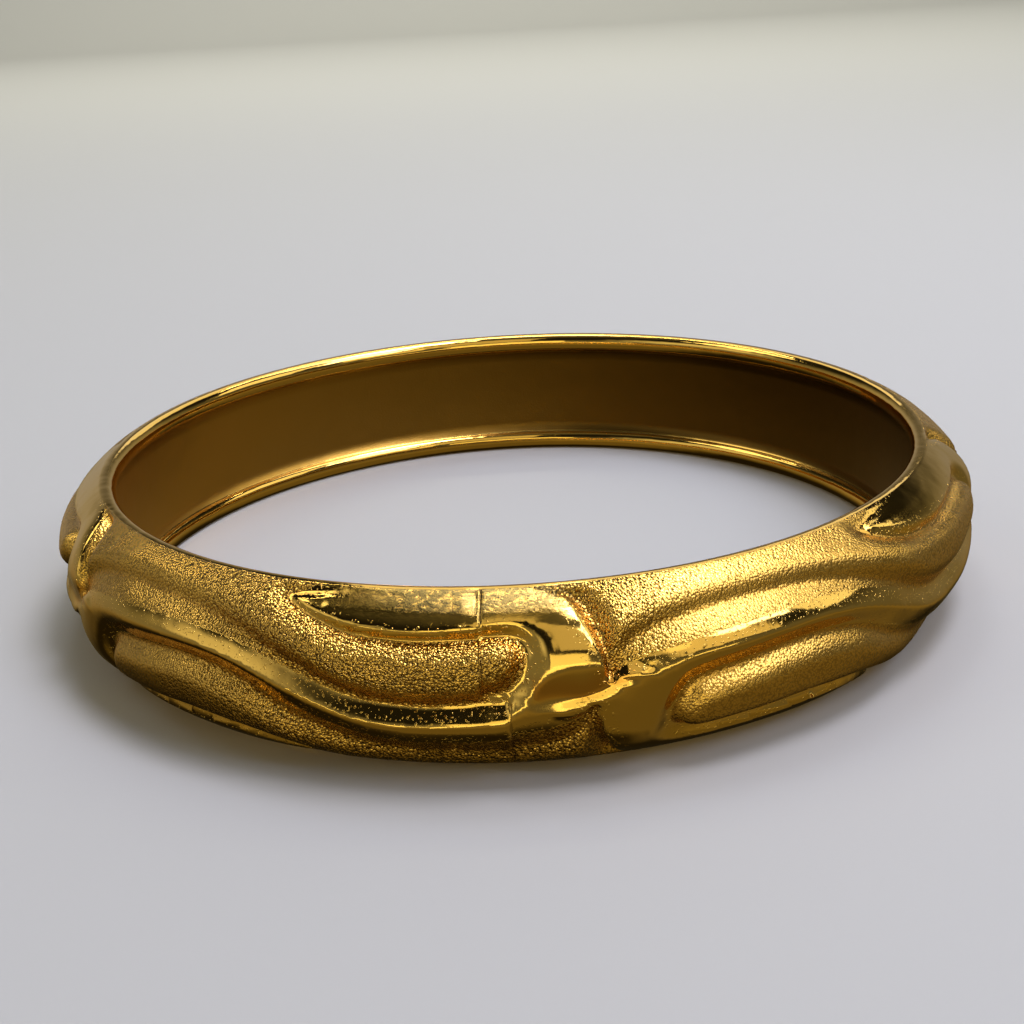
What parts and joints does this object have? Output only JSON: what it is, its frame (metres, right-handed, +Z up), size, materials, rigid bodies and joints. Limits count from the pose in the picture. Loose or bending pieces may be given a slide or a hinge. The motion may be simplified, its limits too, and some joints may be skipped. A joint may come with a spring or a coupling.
{
  "type": "bangle",
  "caption": "Closed slip-on bangle in yellow gold finish: a domed band with cast S-shaped frosted hollows, a polished winding ridge, polished rims and a satin inner wall.",
  "frame": {"origin": "centre of the ring at the bottom rim, on the surface the bangle lies on", "axes": "+Z up along the ring's axis, -Y towards the front where the solder seam is, +X to the right"},
  "size_m": [0.073, 0.0731, 0.0121],
  "materials": {
    "gold": "polished gold plate, frosted in the hollows, satin on the inner wall"
  },
  "bodies": {
    "root": {"bangle": "gold"}
  },
  "joints": []
}
